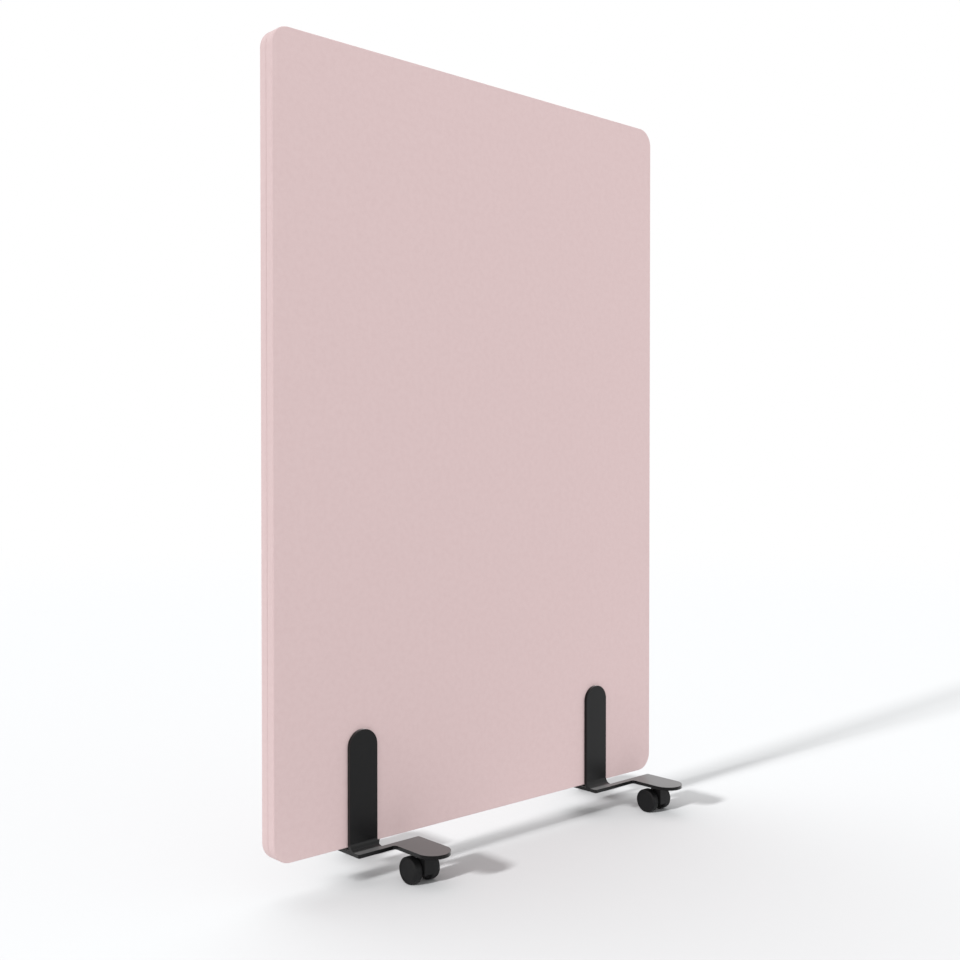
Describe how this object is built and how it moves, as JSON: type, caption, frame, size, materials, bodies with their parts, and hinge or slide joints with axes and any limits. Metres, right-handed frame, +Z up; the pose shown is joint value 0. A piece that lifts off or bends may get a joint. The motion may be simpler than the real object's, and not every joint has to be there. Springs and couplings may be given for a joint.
{
  "type": "rolling partition",
  "caption": "Free-standing upholstered screen panel with rounded corners, gripped by bent steel plate feet whose offset arms roll on swivel casters.",
  "frame": {"origin": "on the floor under the middle of the panel, where the wheels rest", "axes": "+X along the panel to the right seen from the front, -Y out of the front face, +Z up"},
  "size_m": [1, 0.307, 1.512],
  "materials": {
    "cover_fabric": "fine plain weave, matt, pale dusty pink",
    "core_felt": "grey pressed polyester felt",
    "frame_wood": "planed softwood, untreated",
    "black_steel": "satin black powder coat with a fine grain",
    "black_screw": "black oxide",
    "zinc_steel": "bright zinc plate",
    "insert_brass": "plain",
    "pad_rubber": "matt black",
    "caster_plastic": "fine moulded grain",
    "wheel_plastic": "smooth, slightly satin",
    "tyre_rubber": "smooth soft tread"
  },
  "bodies": {
    "panel_and_feet": {"frame_rail_top": "frame_wood", "frame_rail_bottom": "frame_wood", "frame_stile_left": "frame_wood", "frame_stile_right": "frame_wood", "frame_dowels": "frame_wood", "acoustic_core": "core_felt", "front_cover": "cover_fabric", "back_cover": "cover_fabric", "rail_inserts_left": "insert_brass", "foot_screws_left": "black_screw", "rest_pad_left": "pad_rubber", "bridge_plate_left": "black_steel", "rail_inserts_right": "insert_brass", "foot_screws_right": "black_screw", "rest_pad_right": "pad_rubber", "bridge_plate_right": "black_steel", "bracket_front_left": "black_steel", "caster_stem_front_left": "zinc_steel", "snap_ring_front_left": "zinc_steel", "bracket_front_right": "black_steel", "caster_stem_front_right": "zinc_steel", "snap_ring_front_right": "zinc_steel", "bracket_back_left": "black_steel", "caster_stem_back_left": "zinc_steel", "snap_ring_back_left": "zinc_steel", "bracket_back_right": "black_steel", "caster_stem_back_right": "zinc_steel", "snap_ring_back_right": "zinc_steel"},
    "caster_front_left": {"caster_body_front_left": "caster_plastic", "wheel_axle_front_left": "zinc_steel"},
    "wheel_a_front_left": {"wheel_core_a_front_left": "wheel_plastic", "tyre_a_front_left": "tyre_rubber"},
    "wheel_b_front_left": {"wheel_core_b_front_left": "wheel_plastic", "tyre_b_front_left": "tyre_rubber"},
    "caster_front_right": {"caster_body_front_right": "caster_plastic", "wheel_axle_front_right": "zinc_steel"},
    "wheel_a_front_right": {"wheel_core_a_front_right": "wheel_plastic", "tyre_a_front_right": "tyre_rubber"},
    "wheel_b_front_right": {"wheel_core_b_front_right": "wheel_plastic", "tyre_b_front_right": "tyre_rubber"},
    "caster_back_left": {"caster_body_back_left": "caster_plastic", "wheel_axle_back_left": "zinc_steel"},
    "wheel_a_back_left": {"wheel_core_a_back_left": "wheel_plastic", "tyre_a_back_left": "tyre_rubber"},
    "wheel_b_back_left": {"wheel_core_b_back_left": "wheel_plastic", "tyre_b_back_left": "tyre_rubber"},
    "caster_back_right": {"caster_body_back_right": "caster_plastic", "wheel_axle_back_right": "zinc_steel"},
    "wheel_a_back_right": {"wheel_core_a_back_right": "wheel_plastic", "tyre_a_back_right": "tyre_rubber"},
    "wheel_b_back_right": {"wheel_core_b_back_right": "wheel_plastic", "tyre_b_back_right": "tyre_rubber"}
  },
  "joints": [
    {"name": "swivel_front_left", "type": "hinge", "parent": "panel_and_feet", "child": "caster_front_left", "pos_m": [-0.2325, -0.107, 0.05], "axis": [0, 0, 1], "continuous": true},
    {"name": "spin_a_front_left", "type": "hinge", "parent": "caster_front_left", "child": "wheel_a_front_left", "pos_m": [-0.2325, -0.087, 0.025], "axis": [1, 0, 0], "continuous": true},
    {"name": "spin_b_front_left", "type": "hinge", "parent": "caster_front_left", "child": "wheel_b_front_left", "pos_m": [-0.2325, -0.087, 0.025], "axis": [1, 0, 0], "continuous": true},
    {"name": "swivel_front_right", "type": "hinge", "parent": "panel_and_feet", "child": "caster_front_right", "pos_m": [0.4325, -0.107, 0.05], "axis": [0, 0, 1], "continuous": true},
    {"name": "spin_a_front_right", "type": "hinge", "parent": "caster_front_right", "child": "wheel_a_front_right", "pos_m": [0.4325, -0.087, 0.025], "axis": [1, 0, 0], "continuous": true},
    {"name": "spin_b_front_right", "type": "hinge", "parent": "caster_front_right", "child": "wheel_b_front_right", "pos_m": [0.4325, -0.087, 0.025], "axis": [1, 0, 0], "continuous": true},
    {"name": "swivel_back_left", "type": "hinge", "parent": "panel_and_feet", "child": "caster_back_left", "pos_m": [-0.2325, 0.107, 0.05], "axis": [0, 0, 1], "continuous": true},
    {"name": "spin_a_back_left", "type": "hinge", "parent": "caster_back_left", "child": "wheel_a_back_left", "pos_m": [-0.21437, 0.11545, 0.025], "axis": [-0.4226, 0.9063, 0], "continuous": true},
    {"name": "spin_b_back_left", "type": "hinge", "parent": "caster_back_left", "child": "wheel_b_back_left", "pos_m": [-0.21437, 0.11545, 0.025], "axis": [-0.4226, 0.9063, 0], "continuous": true},
    {"name": "swivel_back_right", "type": "hinge", "parent": "panel_and_feet", "child": "caster_back_right", "pos_m": [0.4325, 0.107, 0.05], "axis": [0, 0, 1], "continuous": true},
    {"name": "spin_a_back_right", "type": "hinge", "parent": "caster_back_right", "child": "wheel_a_back_right", "pos_m": [0.45063, 0.11545, 0.025], "axis": [-0.4226, 0.9063, 0], "continuous": true},
    {"name": "spin_b_back_right", "type": "hinge", "parent": "caster_back_right", "child": "wheel_b_back_right", "pos_m": [0.45063, 0.11545, 0.025], "axis": [-0.4226, 0.9063, 0], "continuous": true}
  ]
}
